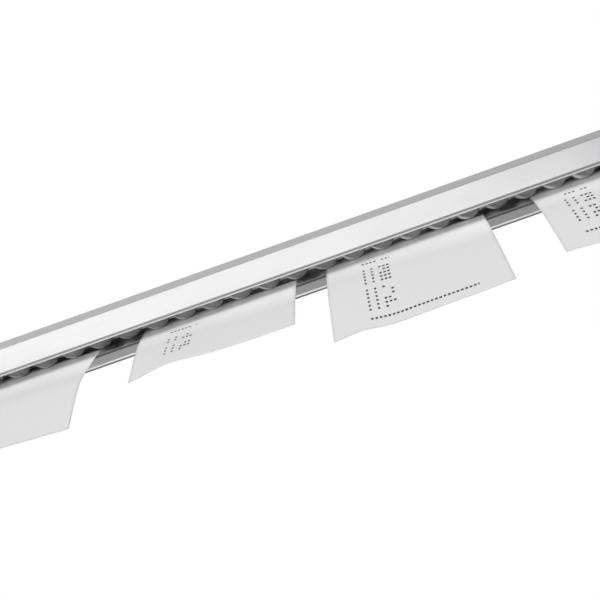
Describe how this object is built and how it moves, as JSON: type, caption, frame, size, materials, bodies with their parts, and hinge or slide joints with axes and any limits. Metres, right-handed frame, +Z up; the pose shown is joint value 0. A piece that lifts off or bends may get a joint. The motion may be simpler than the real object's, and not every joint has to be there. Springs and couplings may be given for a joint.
{
  "type": "order ticket rail",
  "caption": "Wall-mounted aluminium rail that grips paper order tickets under a row of glass marbles on a ramp.",
  "frame": {"origin": "on the wall face of the mounting tape, at the middle of the rail's length and height", "axes": "+X along the rail, +Y into the wall, +Z up; the slot faces -Y"},
  "size_m": [0.505, 0.0782, 0.0368],
  "materials": {
    "anodised_aluminium": "silver anodised, fine brushed along its length",
    "foam_tape": "matte foam",
    "cap_plastic": "satin moulded grey",
    "screw_steel": "zinc plated",
    "marble_glass": "clear glass, polished",
    "ticket_paper": "smooth thermal paper"
  },
  "bodies": {
    "rail": {"rail_profile": "anodised_aluminium", "mounting_tape": "foam_tape", "end_cap_left": "cap_plastic", "end_cap_right": "cap_plastic", "end_cap_screws_left": "screw_steel", "end_cap_screws_right": "screw_steel"},
    "marble_01": {"marble_01": "marble_glass"},
    "marble_02": {"marble_02": "marble_glass"},
    "marble_03": {"marble_03": "marble_glass"},
    "marble_04": {"marble_04": "marble_glass"},
    "marble_05": {"marble_05": "marble_glass"},
    "marble_06": {"marble_06": "marble_glass"},
    "marble_07": {"marble_07": "marble_glass"},
    "marble_08": {"marble_08": "marble_glass"},
    "marble_09": {"marble_09": "marble_glass"},
    "marble_10": {"marble_10": "marble_glass"},
    "marble_11": {"marble_11": "marble_glass"},
    "marble_12": {"marble_12": "marble_glass"},
    "marble_13": {"marble_13": "marble_glass"},
    "marble_14": {"marble_14": "marble_glass"},
    "marble_15": {"marble_15": "marble_glass"},
    "marble_16": {"marble_16": "marble_glass"},
    "marble_17": {"marble_17": "marble_glass"},
    "marble_18": {"marble_18": "marble_glass"},
    "marble_19": {"marble_19": "marble_glass"},
    "marble_20": {"marble_20": "marble_glass"},
    "marble_21": {"marble_21": "marble_glass"},
    "marble_22": {"marble_22": "marble_glass"},
    "marble_23": {"marble_23": "marble_glass"},
    "marble_24": {"marble_24": "marble_glass"},
    "marble_25": {"marble_25": "marble_glass"},
    "marble_26": {"marble_26": "marble_glass"},
    "marble_27": {"marble_27": "marble_glass"},
    "marble_28": {"marble_28": "marble_glass"},
    "marble_29": {"marble_29": "marble_glass"},
    "marble_30": {"marble_30": "marble_glass"},
    "marble_31": {"marble_31": "marble_glass"},
    "marble_32": {"marble_32": "marble_glass"},
    "marble_33": {"marble_33": "marble_glass"},
    "marble_34": {"marble_34": "marble_glass"},
    "ticket_1": {"ticket_1": "ticket_paper"},
    "ticket_2": {"ticket_2": "ticket_paper"},
    "ticket_3": {"ticket_3": "ticket_paper"},
    "ticket_4": {"ticket_4": "ticket_paper"}
  },
  "joints": [
    {"name": "marble_01_lift", "type": "slide", "parent": "rail", "child": "marble_01", "axis": [0, 0.9945, 0.1045], "range_m": [0, 0.0014]},
    {"name": "marble_02_lift", "type": "slide", "parent": "rail", "child": "marble_02", "axis": [0, 0.9945, 0.1045], "range_m": [0, 0.0014]},
    {"name": "marble_03_lift", "type": "slide", "parent": "rail", "child": "marble_03", "axis": [0, 0.9945, 0.1045], "range_m": [0, 0.0014]},
    {"name": "marble_04_lift", "type": "slide", "parent": "rail", "child": "marble_04", "axis": [0, 0.9945, 0.1045], "range_m": [0, 0.0014]},
    {"name": "marble_05_lift", "type": "slide", "parent": "rail", "child": "marble_05", "axis": [0, 0.9945, 0.1045], "range_m": [0, 0.0014]},
    {"name": "marble_06_lift", "type": "slide", "parent": "rail", "child": "marble_06", "axis": [0, 0.9945, 0.1045], "range_m": [0, 0.0014]},
    {"name": "marble_07_lift", "type": "slide", "parent": "rail", "child": "marble_07", "axis": [0, 0.9945, 0.1045], "range_m": [0, 0.0014]},
    {"name": "marble_08_lift", "type": "slide", "parent": "rail", "child": "marble_08", "axis": [0, 0.9945, 0.1045], "range_m": [0, 0.0014]},
    {"name": "marble_09_lift", "type": "slide", "parent": "rail", "child": "marble_09", "axis": [0, 0.9945, 0.1045], "range_m": [0, 0.0014]},
    {"name": "marble_10_lift", "type": "slide", "parent": "rail", "child": "marble_10", "axis": [0, 0.9945, 0.1045], "range_m": [0, 0.0014]},
    {"name": "marble_11_lift", "type": "slide", "parent": "rail", "child": "marble_11", "axis": [0, 0.9945, 0.1045], "range_m": [0, 0.0014]},
    {"name": "marble_12_lift", "type": "slide", "parent": "rail", "child": "marble_12", "axis": [0, 0.9945, 0.1045], "range_m": [0, 0.0014]},
    {"name": "marble_13_lift", "type": "slide", "parent": "rail", "child": "marble_13", "axis": [0, 0.9945, 0.1045], "range_m": [0, 0.0014]},
    {"name": "marble_14_lift", "type": "slide", "parent": "rail", "child": "marble_14", "axis": [0, 0.9945, 0.1045], "range_m": [0, 0.0014]},
    {"name": "marble_15_lift", "type": "slide", "parent": "rail", "child": "marble_15", "axis": [0, 0.9945, 0.1045], "range_m": [0, 0.0014]},
    {"name": "marble_16_lift", "type": "slide", "parent": "rail", "child": "marble_16", "axis": [0, 0.9945, 0.1045], "range_m": [0, 0.0014]},
    {"name": "marble_17_lift", "type": "slide", "parent": "rail", "child": "marble_17", "axis": [0, 0.9945, 0.1045], "range_m": [0, 0.0014]},
    {"name": "marble_18_lift", "type": "slide", "parent": "rail", "child": "marble_18", "axis": [0, 0.9945, 0.1045], "range_m": [0, 0.0014]},
    {"name": "marble_19_lift", "type": "slide", "parent": "rail", "child": "marble_19", "axis": [0, 0.9945, 0.1045], "range_m": [0, 0.0014]},
    {"name": "marble_20_lift", "type": "slide", "parent": "rail", "child": "marble_20", "axis": [0, 0.9945, 0.1045], "range_m": [0, 0.0014]},
    {"name": "marble_21_lift", "type": "slide", "parent": "rail", "child": "marble_21", "axis": [0, 0.9945, 0.1045], "range_m": [0, 0.0014]},
    {"name": "marble_22_lift", "type": "slide", "parent": "rail", "child": "marble_22", "axis": [0, 0.9945, 0.1045], "range_m": [0, 0.0014]},
    {"name": "marble_23_lift", "type": "slide", "parent": "rail", "child": "marble_23", "axis": [0, 0.9945, 0.1045], "range_m": [0, 0.0014]},
    {"name": "marble_24_lift", "type": "slide", "parent": "rail", "child": "marble_24", "axis": [0, 0.9945, 0.1045], "range_m": [0, 0.0014]},
    {"name": "marble_25_lift", "type": "slide", "parent": "rail", "child": "marble_25", "axis": [0, 0.9945, 0.1045], "range_m": [0, 0.0014]},
    {"name": "marble_26_lift", "type": "slide", "parent": "rail", "child": "marble_26", "axis": [0, 0.9945, 0.1045], "range_m": [0, 0.0014]},
    {"name": "marble_27_lift", "type": "slide", "parent": "rail", "child": "marble_27", "axis": [0, 0.9945, 0.1045], "range_m": [0, 0.0014]},
    {"name": "marble_28_lift", "type": "slide", "parent": "rail", "child": "marble_28", "axis": [0, 0.9945, 0.1045], "range_m": [0, 0.0014]},
    {"name": "marble_29_lift", "type": "slide", "parent": "rail", "child": "marble_29", "axis": [0, 0.9945, 0.1045], "range_m": [0, 0.0014]},
    {"name": "marble_30_lift", "type": "slide", "parent": "rail", "child": "marble_30", "axis": [0, 0.9945, 0.1045], "range_m": [0, 0.0014]},
    {"name": "marble_31_lift", "type": "slide", "parent": "rail", "child": "marble_31", "axis": [0, 0.9945, 0.1045], "range_m": [0, 0.0014]},
    {"name": "marble_32_lift", "type": "slide", "parent": "rail", "child": "marble_32", "axis": [0, 0.9945, 0.1045], "range_m": [0, 0.0014]},
    {"name": "marble_33_lift", "type": "slide", "parent": "rail", "child": "marble_33", "axis": [0, 0.9945, 0.1045], "range_m": [0, 0.0014]},
    {"name": "marble_34_lift", "type": "slide", "parent": "rail", "child": "marble_34", "axis": [0, 0.9945, 0.1045], "range_m": [0, 0.0014]},
    {"name": "ticket_1_pull", "type": "slide", "parent": "rail", "child": "ticket_1", "axis": [0, -0.9945, -0.1045], "range_m": [0, 0.02]},
    {"name": "ticket_2_pull", "type": "slide", "parent": "rail", "child": "ticket_2", "axis": [0, -0.9945, -0.1045], "range_m": [0, 0.02]},
    {"name": "ticket_3_pull", "type": "slide", "parent": "rail", "child": "ticket_3", "axis": [0, -0.9945, -0.1045], "range_m": [0, 0.02]},
    {"name": "ticket_4_pull", "type": "slide", "parent": "rail", "child": "ticket_4", "axis": [0, -0.9945, -0.1045], "range_m": [0, 0.02]}
  ]
}
